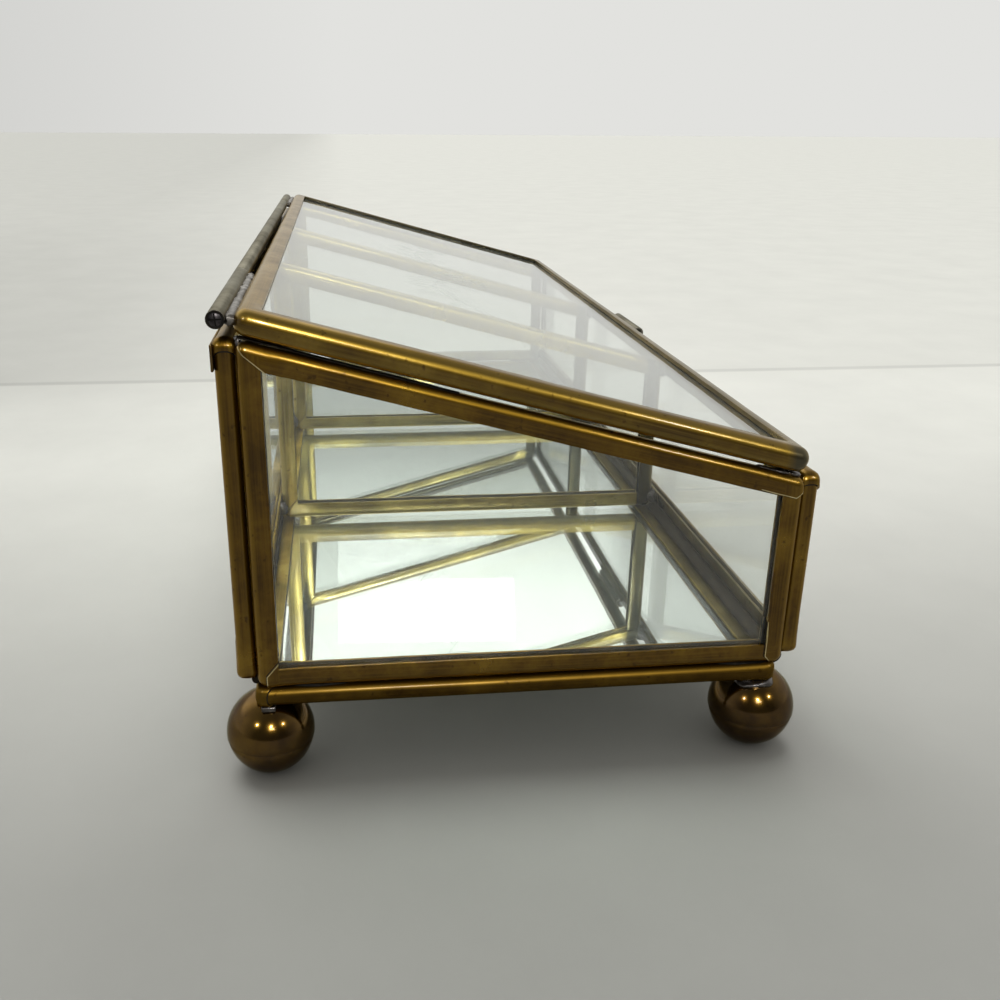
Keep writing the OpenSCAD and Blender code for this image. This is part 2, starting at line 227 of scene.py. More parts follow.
def aged_brass(name, tones, shine=(0.2, 0.34), strip=True, zoned=False, far_shade_colour=None,
               edge_tint=(0.75, 0.62, 0.40, 1), lacquer=0.3, gloss=0.15):
    """Brass in three tones from dark to rubbed; shine is its roughness, rubbed and dark."""
    finish, tree, shader = new_finish(name)
    blotch = patterned(tree, "Object", (85, 85, 85), 5, 0.62)
    base = ramp(tree, blotch, list(zip(BLOTCH_PLACES, tones)))
    bright = tones[2]
    if zoned:
        # A painted shade behind the front wall, then gold that is partly a painted bright
        # reflection
        for front, there in ((SHADE_Y, SHADE_TONES), (GOLDEN_LIT_Y, GOLDEN_LIT_TONES)):
            zone = between_walls(tree, front)
            base = blend(tree, zone, base, ramp(tree, blotch, list(zip(BLOTCH_PLACES, there))))
            bright = blend(tree, zone, bright, there[2])
    # The lid's right and front bars are painted a dark grey, a painted shade
    if far_shade_colour:
        at = axes_of(tree, "Object")
        dull = sums(tree, "MAXIMUM", spread(tree, at["X"], *FAR_END_X, 0.0, FAR_SHADE_SHARE),
                    spread(tree, at["Y"], *FAR_FRONT_Y, FAR_SHADE_SHARE, 0.0))
        base = blend(tree, dull, base, far_shade_colour)
        bright = blend(tree, dull, bright, far_shade_colour)
    grain_space, grain_scale = ("UV", (60, 3200, 1)) if strip else ("Object", (260, 420, 420))
    streak = patterned(tree, grain_space, grain_scale, 3, 0.6)
    base = blend(tree, spread(tree, streak, 0.4, 0.75, 0.0, 0.35), base, bright)
    if strip:
        rub = add(tree, "ShaderNodeAttribute", attribute_name="rub").outputs["Fac"]
        base = blend(tree, spread(tree, rub, 0.3, 1.0, 0.0, 0.6), base, bright)
    specks = patterned(tree, "Object", (900, 900, 900), 2, 0.5)
    base = blend(tree, spread(tree, specks, 0.66, 0.74, 0.0, 0.7), base, tones[0])
    tree.links.new(base, shader.inputs["Base Color"])
    shader.inputs["Metallic"].default_value = 1.0
    shader.inputs["Specular Tint"].default_value = edge_tint
    tree.links.new(spread(tree, blotch, 0.3, 0.75, shine[1], shine[0]), shader.inputs["Roughness"])
    shader.inputs["Coat Weight"].default_value = lacquer
    shader.inputs["Coat Roughness"].default_value = gloss
    shader.inputs["Coat IOR"].default_value = 1.5
    bump = add(tree, "ShaderNodeBump", in_Strength=0.16, in_Distance=0.00005)
    tree.links.new(streak, bump.inputs["Height"])
    tree.links.new(bump.outputs[0], shader.inputs["Normal"])
    return finish


BOX_BRASS = aged_brass("box_brass", OUTER_TONES, (0.24, 0.38), zoned=True, lacquer=0.4)
FLOOR_BRASS = aged_brass(
    "floor_brass", [(0.032, 0.014, 0.001, 1), (0.066, 0.034, 0.003, 1), (0.14, 0.08, 0.010, 1)],
    (0.34, 0.46), zoned=True, lacquer=0.1)
# Its right and front bars take the painted dark grey shade
LID_BRASS = aged_brass(
    "lid_brass", [(0.058, 0.028, 0.001, 1), (0.115, 0.063, 0.003, 1), (0.30, 0.195, 0.028, 1)],
    (0.24, 0.38), far_shade_colour=(0.05, 0.048, 0.032, 1), lacquer=0.55)
# Greyish brass; the grey is partly a painted reflection of the pale room at a grazing angle
HINGE_BRASS_AND_REFLECTION = aged_brass(
    "hinge_brass", [(0.10, 0.088, 0.066, 1), (0.18, 0.168, 0.135, 1), (0.28, 0.265, 0.22, 1)],
    (0.34, 0.5), strip=False, edge_tint=(0.62, 0.60, 0.52, 1), lacquer=0.1)
LEAF_BRASS = aged_brass(
    "leaf_brass", [(0.04, 0.022, 0.006, 1), (0.10, 0.058, 0.014, 1), (0.24, 0.16, 0.05, 1)],
    (0.3, 0.42), strip=False)
BALL_BRASS = aged_brass(
    "ball_brass", [(0.038, 0.017, 0.002, 1), (0.082, 0.041, 0.004, 1), (0.17, 0.095, 0.012, 1)],
    (0.11, 0.22), strip=False, edge_tint=(0.55, 0.50, 0.34, 1), lacquer=0.4, gloss=0.09)
# A painted highlight for the cut edge of a lip beside a seam
GLINT = aged_brass(
    "glint_brass", [(0.30, 0.21, 0.07, 1), (0.62, 0.50, 0.24, 1), (0.85, 0.74, 0.45, 1)],
    (0.22, 0.34), strip=False)
print("brass finishes:", sorted(m.name for m in bpy.data.materials if m.name.endswith("_brass")))

# %% [markdown]
# ## Glass, mirror, solder and engraving
# Window glass is clear with a faint green. Real panes let lamp light through, but a
# renderer that traces refraction would leave the inside dark, so rays from lamps pass
# straight through. A thin uneven film of dust lies on it. The floor is glass over a thin
# silver coat, which is why its reflections sit a little below the surface.
#
# The silver, the dark finish of grime and painted shade, the solder, the pin and the
# engraving share one recipe: noise moves the colour between a few stops. The darkest
# solder is dull and nearly black, and it is painted shade.


# %% The other finishes
def clear_glass(name, tint, dust):
    """Glass under a film of dust that covers the share called dust where it is thickest."""
    finish, tree, shader = new_finish(name)
    shader.inputs["Base Color"].default_value = tint
    shader.inputs["Transmission Weight"].default_value = 1.0
    shader.inputs["IOR"].default_value = 1.5
    smear = patterned(tree, "Object", (40, 90, 60), 5, 0.65)
    tree.links.new(spread(tree, smear, 0.55, 0.85, 0.0, 0.035), shader.inputs["Roughness"])
    film = add(tree, "ShaderNodeBsdfDiffuse", in_Color=(0.76, 0.80, 0.73, 1))
    through = add(tree, "ShaderNodeBsdfTransparent", in_Color=(0.93, 0.96, 0.94, 1))
    from_lamp = add(tree, "ShaderNodeLightPath").outputs["Is Shadow Ray"]
    surface = shader
    for share, cover in ((spread(tree, smear, 0.35, 0.75, dust * 0.4, dust), film),
                         (from_lamp, through)):
        either = add(tree, "ShaderNodeMixShader")
        tree.links.new(share, either.inputs[0])
        tree.links.new(surface.outputs[0], either.inputs[1])
        tree.links.new(cover.outputs[0], either.inputs[2])
        surface = either
    tree.links.new(surface.outputs[0], tree.nodes["Material Output"].inputs["Surface"])
    return finish


def mottled(name, fineness, detail, stops, rough, metal=0.0, specular=0.5):
    """A colour that wanders between stops; rough is a number, or a range's four values."""
    finish, tree, shader = new_finish(name)
    mottle = patterned(tree, "Object", (fineness,) * 3, detail, 0.6)
    tree.links.new(ramp(tree, mottle, stops), shader.inputs["Base Color"])
    if isinstance(rough, tuple):
        tree.links.new(spread(tree, mottle, *rough), shader.inputs["Roughness"])
    else:
        shader.inputs["Roughness"].default_value = rough
    shader.inputs["Metallic"].default_value = metal
    shader.inputs["Specular IOR Level"].default_value = specular
    return finish


def solder(name, tones, dull, metal=1.0):
    return mottled(name, 700, 5, list(zip((0.3, 0.55, 0.75), tones)),
                   (0.3, 0.7, dull + 0.14, dull), metal, specular=0.1 + 0.4 * metal)


PANE_GLASS = clear_glass("pane_glass", (0.972, 0.988, 0.978, 1), dust=0.02)
LID_GLASS = clear_glass("lid_glass_clear", (0.955, 0.985, 0.95, 1), dust=0.055)
SILVER = mottled("silvering", 70, 5,
                 [(0.3, (0.88, 0.915, 0.89, 1)), (0.7, (0.93, 0.955, 0.935, 1))],
                 (0.5, 0.9, 0.005, 0.05), metal=1.0)
# Nearly black: grime, and painted shade inside the channels, beside the seams and in the pin's
# cracks
GRIME_AND_SHADE = mottled("groove_brass", 400, 4,
                 [(0.35, (0.006, 0.005, 0.003, 1)), (0.7, (0.028, 0.019, 0.008, 1))],
                 0.75, specular=0.15)
SOLDER = solder("solder_grey", [(0.05, 0.045, 0.04, 1), (0.13, 0.12, 0.115, 1),
                                (0.27, 0.26, 0.25, 1)], 0.24)
PALE_SOLDER = solder("solder_pale", [(0.07, 0.06, 0.05, 1), (0.19, 0.175, 0.155, 1),
                                     (0.36, 0.345, 0.32, 1)], 0.36)
# Painted shade: dull, nearly black solder laid in gaps that lie in shadow
SHADE_SOLDER = solder("solder_painted_shade", [(0.010, 0.007, 0.004, 1), (0.022, 0.016, 0.009, 1),
                                     (0.05, 0.04, 0.02, 1)], 0.6, metal=0.0)
PIN_STEEL = mottled("pin_dark", 1200, 4,
                    [(0.35, (0.012, 0.011, 0.012, 1)), (0.7, (0.09, 0.08, 0.08, 1))],
                    0.38, metal=1.0)
ENGRAVED = mottled("engraved_frost", 1500, 3,
                   [(0.3, (0.62, 0.64, 0.61, 1)), (0.7, (0.93, 0.94, 0.92, 1))], 0.7)
ENGRAVED.node_tree.nodes["Principled BSDF"].inputs["Alpha"].default_value = 0.45
print("finishes:", len(bpy.data.materials))


# %% [markdown]
# ## Finishing a piece
# Every piece ends in the same way: its doubles are merged, its faces are turned
# outwards, its place goes into the mesh, it takes its finish, it is hung on the body it
# moves with, and the imported nodes that it stands for are hidden.


# %% Helpers that finish a piece
def finish_piece(bm, name, finish, body, stands_for, place=None, sharp=38):
    bmesh.ops.remove_doubles(bm, verts=bm.verts[:], dist=1e-6)
    bmesh.ops.recalc_face_normals(bm, faces=bm.faces[:])
    bmesh.ops.transform(bm, matrix=place or Matrix.Translation(CORNER), verts=bm.verts[:])
    mesh = bpy.data.meshes.new(name)
    bm.to_mesh(mesh)
    bm.free()
    mesh.shade_smooth()
    mesh.set_sharp_from_angle(angle=math.radians(sharp))
    mesh.materials.append(finish)
    piece = bpy.data.objects.new(name, mesh)
    bpy.context.scene.collection.objects.link(piece)
    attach(piece, body)
    if stands_for:
        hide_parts(*stands_for)
    return piece


def lumpy(bm, verts, size, amount, seed):
    """Pushes vertices in and out by slow noise, as solder runs and sets."""
    for v in verts:
        where = v.co / size + Vector((seed, 0, 0))
        v.co += noise.noise_vector(where) * amount


def verts_of(result):
    return [g for g in result["geom"] if isinstance(g, bmesh.types.BMVert)]


def everything(bm):
    return bm.verts[:] + bm.edges[:] + bm.faces[:]


def with_edges(faces):
    """Faces with their edges and vertices, each once, in the same order on every run."""
    return list(dict.fromkeys(g for f in faces for g in (f, *f.edges, *f.verts)))


def round_edges(bm, edges, offset, segments):
    bmesh.ops.bevel(bm, geom=edges, affect="EDGES", offset=offset, segments=segments,
                    profile=0.5, material=-1)


def block(size):
    bm = bmesh.new()
    bmesh.ops.create_cube(bm, size=1)
    bmesh.ops.scale(bm, vec=size, verts=bm.verts[:])
    return bm


def moved_to(x, y, z):
    return Matrix.Translation(CORNER + Vector((x, y, z)))


# %% [markdown]
# ## A channel frame
# The real strip is one length of folded brass, bent round the pane and notched at each
# corner. A slab with the frame's outline gives the same shape: its corners and both its
# rims are bevelled, its two faces are cut a lip's width in from each side and their
# middles are deleted. What is left is the strip's outer skin, and Solidify gives it the
# sheet's thickness inwards. Planes cut it every few millimetres so that it can waver a
# little, because a hand-bent strip is never quite straight.
#
# At a corner the notched lip of one side lies over that of the next. The skin is cut
# along that seam, split there, and the lip on top is lifted by less than the sheet's
# thickness. The lift fades out along the strip and round its web, where the real strip
# is one piece. A narrow dark line of grime and painted shade lies beside each seam, and
# on the end frames the cut edge of the top lip carries a painted glint.


# %% The frame builder
def side_at(corners, i):
    """One side of the outline: where it starts, its direction and its length."""
    a, b = Vector(corners[i]), Vector(corners[(i + 1) % len(corners)])
    return a, (b - a).normalized(), (b - a).length


def measure(corners, i, point):
    """How far along one side of the outline a point lies, and how far in from it."""
    start, run, _ = side_at(corners, i)
    off = Vector((point.x, point.y)) - start
    return off.dot(run), run.x * off.y - run.y * off.x


def nearest(corners, point):
    """The side that a point is nearest to, and how far in from it the point lies."""
    depths = [measure(corners, i, point)[1] for i in range(len(corners))]
    return depths.index(min(depths)), min(depths)


def channel_frame(corners, lip, thick, shoulder, fold, seams, seed):
    bm = bmesh.new()
    outline = bm.faces.new([bm.verts.new((u, v, 0)) for u, v in corners])
    grown = bmesh.ops.extrude_face_region(bm, geom=[outline])
    bmesh.ops.translate(bm, vec=(0, 0, thick), verts=verts_of(grown))
    bmesh.ops.recalc_face_normals(bm, faces=bm.faces[:])
    folds = [e for e in bm.edges if abs(e.verts[0].co.z - e.verts[1].co.z) > thick / 2]
    for e in folds:
        round_edges(bm, [e], fold * math.tan(e.calc_face_angle() / 2), 6)
    rims = [e for e in bm.edges if abs(e.verts[0].co.z - e.verts[1].co.z) < thick / 2]
    round_edges(bm, rims, shoulder, 7)
    cut_window(bm, corners, lip)
    slice_frame(bm, corners, lip)
    dress_strip(bm, corners, thick, shoulder, seed)
    for corner, kind in enumerate(seams):
        if kind:
            lap_corner(bm, corners, corner, kind, thick)
    waver(bm, corners, lip, seed)
    return bm


def cut_window(bm, corners, lip):
    """Cuts both faces of the slab a lip's width in from each side and drops the middles."""
    flat = [f for f in bm.faces if abs(f.normal.z) > 0.999 and f.calc_area() > lip * lip * 8]
    for i in range(len(corners)):
        start, run, _ = side_at(corners, i)
        inward = Vector((-run.y, run.x))
        at = start + inward * lip
        cut = bmesh.ops.bisect_plane(bm, geom=with_edges(flat), dist=1e-7,
                                     plane_co=(at.x, at.y, 0), plane_no=(inward.x, inward.y, 0))
        flat = [g for g in cut["geom"] if isinstance(g, bmesh.types.BMFace)]
    middles = [f for f in flat if nearest(corners, f.calc_center_median())[1] > lip]
    bmesh.ops.delete(bm, geom=middles, context="FACES")


def slice_frame(bm, corners, lip, step=3 * MM):
    """Cuts each side of the frame across, every few millimetres between its corners."""
    for i in range(len(corners)):
        start, run, length = side_at(corners, i)
        for k in range(int((length - 3 * lip) / step) + 1):
            at = start + run * (1.5 * lip + k * step)
            near = [f for f in bm.faces if nearest(corners, f.calc_center_median())[0] == i]
            bmesh.ops.bisect_plane(bm, geom=with_edges(near), dist=1e-7, plane_co=(at.x, at.y, 0),
                                   plane_no=(run.x, run.y, 0))


# No two strips start at the same place in the streaks
STREAK_SHIFT = 0.37


def dress_strip(bm, corners, thick, shoulder, seed):
    """A UV map that runs along each strip, and how far the shoulders are rubbed."""
    layer = bm.loops.layers.uv.new("along")
    rub = bm.verts.layers.float.new("rub")
    for f in bm.faces:
        i = nearest(corners, f.calc_center_median())[0]
        for loop in f.loops:
            along, depth = measure(corners, i, loop.vert.co)
            over = -depth if loop.vert.co.z < thick / 2 else depth
            loop[layer].uv = (along + STREAK_SHIFT * (i + seed), loop.vert.co.z + over)
    for v in bm.verts:
        p = max(0, shoulder - nearest(corners, v.co)[1])
        q = max(0, shoulder - min(v.co.z, thick - v.co.z))
        v[rub] = 2 * p * q / (p * p + q * q) if p * q > 0 else 0.0


# Each kind of seam: whether the side that leaves the corner is on top, and the straight
# cuts that bound its lip, as points (along the top side, along the lower side) in mm
SEAMS = {
    "slant": (True, [((0.0, 0.3), (1.1, 1.8)), ((1.1, 1.8), (3.3, 3.1))]),
    "short": (False, [((1.4, 0.0), (1.4, 2.0)), ((1.4, 2.1), (2.5, 3.4))]),
    "tongue": (False, [((3.4, 3.1), (0.7, 3.1)), ((1.6, 3.3), (-0.2, 1.5))]),
}
SEAM_KINDS = ("tongue", "short", "slant", "tongue")
# Beside a seam, in mm: the widths of the dark line of grime and painted shade and of the
# painted glint on the lip's edge, and the cuts that let the top lip bend where it is lifted
SEAM_GRIME_AND_SHADE, SEAM_GLINT = 0.14, 0.13
SEAM_CUTS = (-SEAM_GRIME_AND_SHADE, 0.0, SEAM_GLINT, 0.6, 1.4, 2.6)
LAP_RISE, LAP_FADE = 0.32 * MM, 3.2 * MM
GROOVE_SLOT, GLINT_SLOT = 1, 2


def lap_corner(bm, corners, corner, kind, thick, reach=7 * MM):
    """Splits the skin along a seam at one corner and lifts the lip that lies on top."""
    on_next, cuts = SEAMS[kind]
    here = Vector(corners[corner])
    after = (Vector(corners[(corner + 1) % len(corners)]) - here).normalized()
    before = (Vector(corners[corner - 1]) - here).normalized()
    run, across = (after, before) if on_next else (before, after)
    well_inside = here + (run * 4.5 + across * 0.5) * MM

    def near_faces():
        return [f for f in bm.faces if (f.calc_center_median().xy - here).length < reach]

    lines = []
    for p, q in cuts:
        a, b = (here + (run * s + across * t) * MM for s, t in (p, q))
        normal = Vector((a.y - b.y, b.x - a.x)).normalized()
        lines.append((a, normal if (well_inside - a).dot(normal) > 0 else -normal))
    for a, normal in lines:
        for inwards in SEAM_CUTS:
            at = a + normal * inwards * MM
            bmesh.ops.bisect_plane(bm, geom=with_edges(near_faces()), dist=1e-7,
                                   plane_co=(at.x, at.y, 0), plane_no=(normal.x, normal.y, 0))

    def inside(spot):
        return min((spot - a).dot(normal) for a, normal in lines)

    top = {f for f in near_faces() if inside(f.calc_center_median().xy) > 0}
    for f in near_faces():
        depth = inside(f.calc_center_median().xy) / MM
        # Grime and painted shade just outside the seam, a painted glint just inside it
        if -SEAM_GRIME_AND_SHADE < depth < SEAM_GLINT:
            f.material_index = GROOVE_SLOT if depth < 0 else GLINT_SLOT
    seam = [e for e in bm.edges if len(e.link_faces) == 2
            and sum(f in top for f in e.link_faces) == 1
            and abs(inside((e.verts[0].co.xy + e.verts[1].co.xy) / 2)) < 0.002 * MM]
    bmesh.ops.split_edges(bm, edges=seam)
    bm.normal_update()
    raised = {}
    for f in top:
        for v in f.verts:
            if all(g in top for g in v.link_faces):
                # 0 round the middle of the web, 1 on the two lips
                flank = min(1, max(0, (abs(v.co.z / thick - 0.5) * 2 - 0.3) / 0.5))
                fade = max(0, 1 - max(0, inside(v.co.xy)) / LAP_FADE)
                raised[v] = v.normal * LAP_RISE * flank * fade
    for v, push in raised.items():
        v.co += push


WAVER = 0.05 * MM


def waver(bm, corners, lip, seed):
    """Slow bends all over, and a finer tremble along the lips' cut edges."""
    for v in bm.verts:
        where = v.co * 55 + Vector((seed * 7.3, 0, 0))
        push = noise.noise_vector(where) * WAVER
        if nearest(corners, v.co)[1] > lip - 0.3 * MM:
            push += noise.noise_vector(where * 6) * WAVER
        v.co += push


# %% [markdown]
# ## The eight frames
# Two ends, front, back, floor, two dividers and the lid. Each list of corners goes
# round its panel, and each frame stands for the four packed lengths of channel.

# %% Build the frames
SIDE_IN, SIDE_LOW, FLOOR_BACK = 1.5 * MM, 0.5 * MM, 0.6 * MM
DIVIDER_GAP, DIVIDER_LOW = 0.4 * MM, -0.3 * MM
LID_OVER = 0.6 * MM
# The hinge's axis, in the box's y and z, and through and along the lid as it lies flat
HINGE_R = 1.25 * MM
HINGE_ACROSS = LID_THICK / 2 - 0.4 * MM
HINGE_Y = BOX_W + THICK + 0.4 * MM - HINGE_R
HINGE_Z = LID_Z + HINGE_Y * math.tan(SLOPE) + HINGE_ACROSS / math.cos(SLOPE)
HINGE_ALONG = HINGE_Y * math.cos(SLOPE) + (HINGE_Z - LID_Z) * math.sin(SLOPE)
LID_BACK = HINGE_ALONG - HINGE_R - 0.9 * MM
LID_FRONT = (LID_THICK * math.sin(SLOPE) - 0.7 * MM) / math.cos(SLOPE)


def oblong(left, low, right, high):
    return [(left, low), (right, low), (right, high), (left, high)]


end_corners = [(0, 0), (BOX_W, 0), (BOX_W, BACK_H), (0, FRONT_H)]
front_corners = oblong(SIDE_IN, SIDE_LOW, BOX_L - SIDE_IN, FRONT_TOP)
back_corners = oblong(SIDE_IN, SIDE_LOW, BOX_L - SIDE_IN, BACK_H)
floor_corners = oblong(0, FLOOR_BACK, BOX_L, BOX_W + FLOOR_BACK)
lid_corners = oblong(-LID_OVER, LID_FRONT, BOX_L + LID_OVER, LID_BACK)
rise = DIVIDER_GAP * math.tan(SLOPE)
divider_corners = [(DIVIDER_GAP, DIVIDER_LOW), (BOX_W - DIVIDER_GAP, DIVIDER_LOW),
                   (BOX_W - DIVIDER_GAP, BACK_H - DIVIDER_GAP - rise),
                   (DIVIDER_GAP, FRONT_H - DIVIDER_GAP + rise)]

UPRIGHT, LEVEL = ("bottom", "back", "top", "front"), ("bottom", "right", "top", "left")
LAID = ("front", "right", "back", "left")
FRAMES = {
    "left_end": (end_corners, stand_end(0), UPRIGHT),
    "right_end": (end_corners, stand_end(BOX_L - THICK), UPRIGHT),
    "front": (front_corners, stand_side(0), LEVEL),
    "back": (back_corners, stand_side(BOX_W + THICK), LEVEL),
    "floor": (floor_corners, LAY_FLOOR, LAID),
    "left_divider": (divider_corners, stand_end(LEFT_DIVIDER_X), UPRIGHT),
    "right_divider": (divider_corners, stand_end(RIGHT_DIVIDER_X), UPRIGHT),
    "lid": (lid_corners, LAY_LID, LAID),
}
for number, (panel, (corners, place, sides)) in enumerate(FRAMES.items()):
    on_lid = panel == "lid"
    body = "lid" if on_lid else "box"
    finish = {"lid": LID_BRASS, "floor": FLOOR_BRASS}.get(panel, BOX_BRASS)
    lip, thick, sheet, shoulder, fold, slot = (
        (LID_LIP, LID_THICK, LID_SHEET, LID_SHOULDER, 1.9 * MM, "lid_brass") if on_lid
        else (LIP, THICK, SHEET, SHOULDER, 1.4 * MM, "channel_brass"))
    skin = channel_frame(corners, lip, thick, shoulder, fold,
                         (None,) * 4 if on_lid else SEAM_KINDS, number)
    for f in skin.faces:
        # Only the end frames keep the painted glint
        if f.material_index == GLINT_SLOT and not panel.endswith("_end"):
            f.material_index = 0
    framed = finish_piece(skin, f"{panel}_channel", finish, body,
                          [f"{panel}_channel_{side}" for side in sides], place)
    wall = framed.modifiers.new("sheet", "SOLIDIFY")
    wall.thickness, wall.offset, wall.use_even_offset = sheet, -1, False
    for seam_finish in (GRIME_AND_SHADE, GLINT):
        framed.data.materials.append(seam_finish)
    # The sheet's inner side takes the dark finish, painted shade and grime inside the channel
    wall.material_offset = GROOVE_SLOT
    edge = framed.modifiers.new("cut_edge", "BEVEL")
    edge.width, edge.segments, edge.limit_method = 0.09 * MM, 2, "ANGLE"
    edge.angle_limit = math.radians(55)
    print(panel, "frame", len(framed.data.polygons), "faces")

# %% [markdown]
# ## The panes
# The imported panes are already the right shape, so they stay and only get their finish.
# The mirror is the same glass with a thin silvered sheet just under it.

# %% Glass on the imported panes, and the mirror's silvering
for name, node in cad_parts.items():
    if name.endswith("_glass") or name == "floor_mirror":
        for part in node.material_slots:
            part.material = LID_GLASS if name == "lid_glass" else PANE_GLASS
    if name == "hinge_pin":
        for part in node.material_slots:
            part.material = PIN_STEEL
SILVER_THICK, SILVER_DOWN = 0.06 * MM, 0.05 * MM
low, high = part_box("floor_mirror")
mirror_l, mirror_w = high[0] - low[0], high[1] - low[1]
middle = ((low[0] + high[0]) / 2, (low[1] + high[1]) / 2, low[2] - SILVER_DOWN)
finish_piece(block((mirror_l, mirror_w, SILVER_THICK)), "floor_silvering", SILVER, "box",
             (), Matrix.Translation(middle))
print("mirror", round(mirror_l / MM, 1), "by", round(mirror_w / MM, 1), "mm")

# %% [markdown]
# ## Ball feet
# Each foot is two pressed cups, the lower one pushed a little into the upper, so a fine
# dark seam runs round it below the middle. A sphere is cut flat by planes at its top and
# underside. Four more planes cut rings round the seam, and the one at the seam itself is
# drawn in. The faces beside it take the groove's dark finish.

# %% Build the feet
FOOT_R, FOOT_TOP_CUT, FOOT_LOW_CUT = 6.7 * MM, 0.4 * MM, 0.2 * MM
CUP_SEAM_Z, CUP_SEAM_HALF, CUP_SHOULDER = -0.6 * MM, 0.11 * MM, 0.24 * MM
SEAM_DRAWN_IN, LOWER_CUP = 0.958, 0.985
for corner in ("front_left", "front_right", "back_left", "back_right"):
    low, high = (Vector(c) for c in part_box(f"foot_{corner}"))
    centre = Vector(((low.x + high.x) / 2, (low.y + high.y) / 2, high.z - FOOT_R + FOOT_TOP_CUT))
    ball = bmesh.new()
    bmesh.ops.create_uvsphere(ball, u_segments=72, v_segments=40, radius=FOOT_R)
    for height, up in ((FOOT_R - FOOT_TOP_CUT, 1), (FOOT_LOW_CUT - FOOT_R, -1)):
        cut = bmesh.ops.bisect_plane(ball, geom=everything(ball), plane_co=(0, 0, height),
                                     plane_no=(0, 0, up), clear_outer=True)
        rim = [g for g in cut["geom_cut"] if isinstance(g, bmesh.types.BMEdge)]
        bmesh.ops.contextual_create(ball, geom=rim)
    for offset in (CUP_SHOULDER, CUP_SEAM_HALF, 0.0, -CUP_SEAM_HALF):
        cut = bmesh.ops.bisect_plane(ball, geom=everything(ball), plane_no=(0, 0, 1),
                                     plane_co=(0, 0, CUP_SEAM_Z + offset))
        if offset == 0.0:
            loop = [g for g in cut["geom_cut"] if isinstance(g, bmesh.types.BMVert)]
            bmesh.ops.scale(ball, vec=(SEAM_DRAWN_IN, SEAM_DRAWN_IN, 1), verts=loop)
    lower = [v for v in ball.verts if v.co.z < CUP_SEAM_Z - CUP_SEAM_HALF / 2]
    bmesh.ops.scale(ball, vec=(LOWER_CUP, LOWER_CUP, 1), verts=lower)
    for f in ball.faces:
        if abs(f.calc_center_median().z - CUP_SEAM_Z) < CUP_SEAM_HALF:
            f.material_index = GROOVE_SLOT
    foot = finish_piece(ball, f"ball_foot_{corner}", BALL_BRASS, "box",
                        [f"foot_{corner}"], Matrix.Translation(centre), sharp=60)
    foot.data.materials.append(GRIME_AND_SHADE)


# %% [markdown]
# ## Solder
# Solder runs into a joint and sets in lumps. Each lump is a small ball, squashed where
# it wets the metal and pushed about by noise. A long run is a thin rod, cut across every
# couple of millimetres so that it can swell and neck. Paler runs hold the lid's tubes.
# Nearly black, dull ones are painted shade, laid in gaps that lie in shadow: the beads
# under the front and back frames, the pads between the floor bar and the ends, and a flat
# line along the top of each end.


# %% Build the solder
def lump(bm, at, size, seed, detail=3, turn=0.0):
    ball = bmesh.ops.create_icosphere(bm, subdivisions=detail, radius=1)["verts"]
    lumpy(bm, ball, 0.7, 0.3, seed)
    bmesh.ops.scale(bm, vec=[s * MM for s in size], verts=ball)
    bmesh.ops.rotate(bm, verts=ball, matrix=Matrix.Rotation(turn, 3, "X"))
    bmesh.ops.translate(bm, vec=at, verts=ball)


def rod(bm, start, end, y, z, radius, seed, step=2 * MM, wander=0.14 * MM):
    made = bmesh.ops.create_cone(bm, cap_ends=True, segments=18, radius1=radius, radius2=radius,
                                 depth=end - start)["verts"]
    bmesh.ops.rotate(bm, verts=made, matrix=Matrix.Rotation(math.pi / 2, 3, "Y"))
    bmesh.ops.translate(bm, vec=((start + end) / 2, y, z), verts=made)
    for k in range(1, int((end - start) / step)):
        bmesh.ops.bisect_plane(bm, geom=everything(bm), dist=1e-7,
                               plane_co=(start + k * step, 0, 0), plane_no=(1, 0, 0))
    for v in bm.verts:
        v.co += noise.noise_vector(v.co / (3 * MM) + Vector((seed, 0, 0))) * wander


def set_solder(bm, name, finish, stands_for=()):
    finish_piece(bm, name, finish, "box", stands_for, sharp=80)


JOINTS = [(back_side, BOX_W if back_side else 0, end)
          for back_side, top in ((0, FRONT_H), (1, BACK_H))
          for end in enumerate((SIDE_LOW + LIP / 2, top - LIP / 2))]
# Dark pads of painted shade between the floor bar and each end
PAD_FRONT, PAD_BACK, PAD_Z = 6 * MM, BOX_W - 9 * MM, -0.15 * MM
corner_lumps, shade_pads = bmesh.new(), bmesh.new()
for right in (0, 1):
    x, mid_x = (BOX_L - THICK, BOX_L - THICK / 2) if right else (THICK, THICK / 2)
    for back_side, y, (k, z) in JOINTS:
        lump(corner_lumps, (x, y, z), (1.0, 1.0, 1.6), right * 9 + back_side * 5 + k)
    for back_side, y in enumerate((PAD_FRONT, PAD_BACK)):
        lump(shade_pads, (mid_x, y, PAD_Z), (1.0, 4.2, 0.28), right + back_side * 3)
    # The three lumps that the closed lid rests on, tallest at the front
    for along, high, size in ((1.7, 0.2, (0.95, 1.3, 0.34)), (3.4, 0.15, (0.9, 1.8, 0.28)),
                              (5.4, 0.08, (0.8, 1.9, 0.2))):
        lump(corner_lumps, (mid_x, along * MM, FRONT_H + along * MM * math.tan(SLOPE) + high * MM),
             size, right * 4 + along, turn=SLOPE)
set_solder(corner_lumps, "corner_solder_lumps", SOLDER, ["corner_solder"])
set_solder(shade_pads, "end_shade_pads", SHADE_SOLDER)
